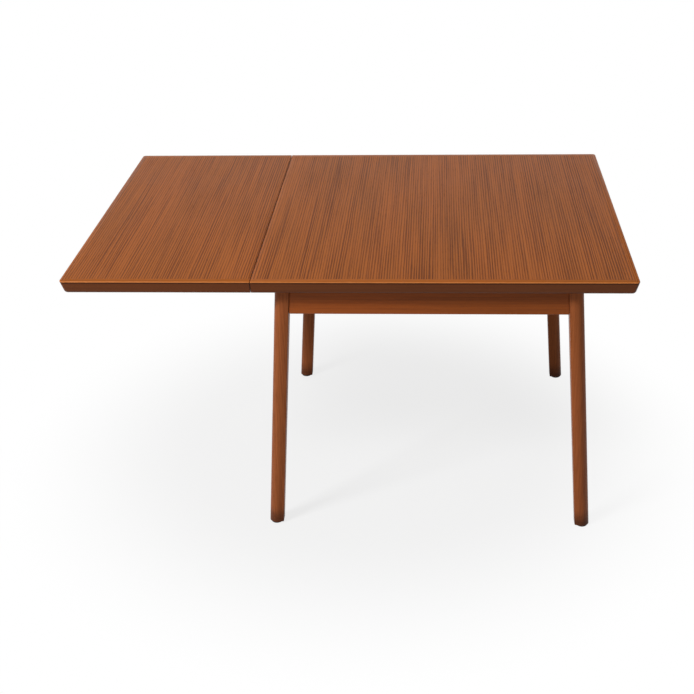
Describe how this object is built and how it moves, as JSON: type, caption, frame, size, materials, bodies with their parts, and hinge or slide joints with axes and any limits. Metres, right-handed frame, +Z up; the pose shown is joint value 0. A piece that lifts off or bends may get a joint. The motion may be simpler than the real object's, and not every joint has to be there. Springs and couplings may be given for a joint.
{
  "type": "butterfly extending dining table",
  "caption": "Wooden dining table with a hinged drop leaf on one end and a pair of splayed legs that slide out on rails to carry the raised leaf.",
  "frame": {"origin": "on the floor under the middle of the raised top", "axes": "+Z up, +X along the table away from the leaf, -Y towards the front"},
  "size_m": [1.352, 0.9, 0.72],
  "materials": {
    "top_veneer": "satin stained veneer, grain across the table",
    "lipping_wood": "satin stained solid wood",
    "frame_wood": "satin stained solid wood",
    "inner_wood": "plain sealed hardwood",
    "steel": "zinc plated",
    "brass": "plain",
    "nylon": "matte black",
    "rubber": "matte"
  },
  "bodies": {
    "table": {"main_panel": "top_veneer", "main_front_lipping": "lipping_wood", "main_rear_lipping": "lipping_wood", "main_end_lipping": "lipping_wood", "main_seam_lipping": "lipping_wood", "front_apron": "frame_wood", "rear_apron": "frame_wood", "right_apron": "frame_wood", "fixed_cross_rail": "inner_wood", "front_guide_board": "inner_wood", "rear_guide_board": "inner_wood", "front_runner": "inner_wood", "rear_runner": "inner_wood", "front_right_leg": "frame_wood", "rear_right_leg": "frame_wood", "front_right_corner_block": "inner_wood", "rear_right_corner_block": "inner_wood", "front_right_leg_bolt": "steel", "rear_right_leg_bolt": "steel", "front_right_insert": "brass", "rear_right_insert": "brass", "front_cross_rail_cleat": "steel", "rear_cross_rail_cleat": "steel", "front_right_apron_cleat": "steel", "rear_right_apron_cleat": "steel", "front_hinge_main_plate": "steel", "front_hinge_pin": "steel", "middle_hinge_main_plate": "steel", "middle_hinge_pin": "steel", "rear_hinge_main_plate": "steel", "rear_hinge_pin": "steel"},
    "leaf": {"leaf_panel": "top_veneer", "leaf_front_lipping": "lipping_wood", "leaf_rear_lipping": "lipping_wood", "leaf_end_lipping": "lipping_wood", "leaf_seam_lipping": "lipping_wood", "front_hinge_leaf_plate": "steel", "middle_hinge_leaf_plate": "steel", "rear_hinge_leaf_plate": "steel", "front_leaf_bumper": "rubber", "rear_leaf_bumper": "rubber"},
    "leg_frame": {"front_left_leg": "frame_wood", "rear_left_leg": "frame_wood", "front_slide_rail": "frame_wood", "rear_slide_rail": "frame_wood", "left_end_rail": "frame_wood", "front_stop_block": "inner_wood", "rear_stop_block": "inner_wood", "front_left_gusset": "inner_wood", "rear_left_gusset": "inner_wood", "front_left_insert": "brass", "rear_left_insert": "brass"},
    "front_left_foot": {"front_left_glide": "nylon"},
    "rear_left_foot": {"rear_left_glide": "nylon"},
    "front_right_foot": {"front_right_glide": "nylon"},
    "rear_right_foot": {"rear_right_glide": "nylon"}
  },
  "joints": [
    {"name": "leaf_drop", "type": "hinge", "parent": "table", "child": "leaf", "pos_m": [-0.225, 0, 0.6818], "axis": [0, 1, 0], "range_deg": [-92.1, 0]},
    {"name": "leg_slide", "type": "slide", "parent": "table", "child": "leg_frame", "axis": [-1, 0, 0], "range_m": [0, 0.38]},
    {"name": "front_left_level", "type": "slide", "parent": "leg_frame", "child": "front_left_foot", "axis": [0, 0, -1], "range_m": [0, 0.008]},
    {"name": "rear_left_level", "type": "slide", "parent": "leg_frame", "child": "rear_left_foot", "axis": [0, 0, -1], "range_m": [0, 0.008]},
    {"name": "front_right_level", "type": "slide", "parent": "table", "child": "front_right_foot", "axis": [0, 0, -1], "range_m": [0, 0.008]},
    {"name": "rear_right_level", "type": "slide", "parent": "table", "child": "rear_right_foot", "axis": [0, 0, -1], "range_m": [0, 0.008]}
  ]
}
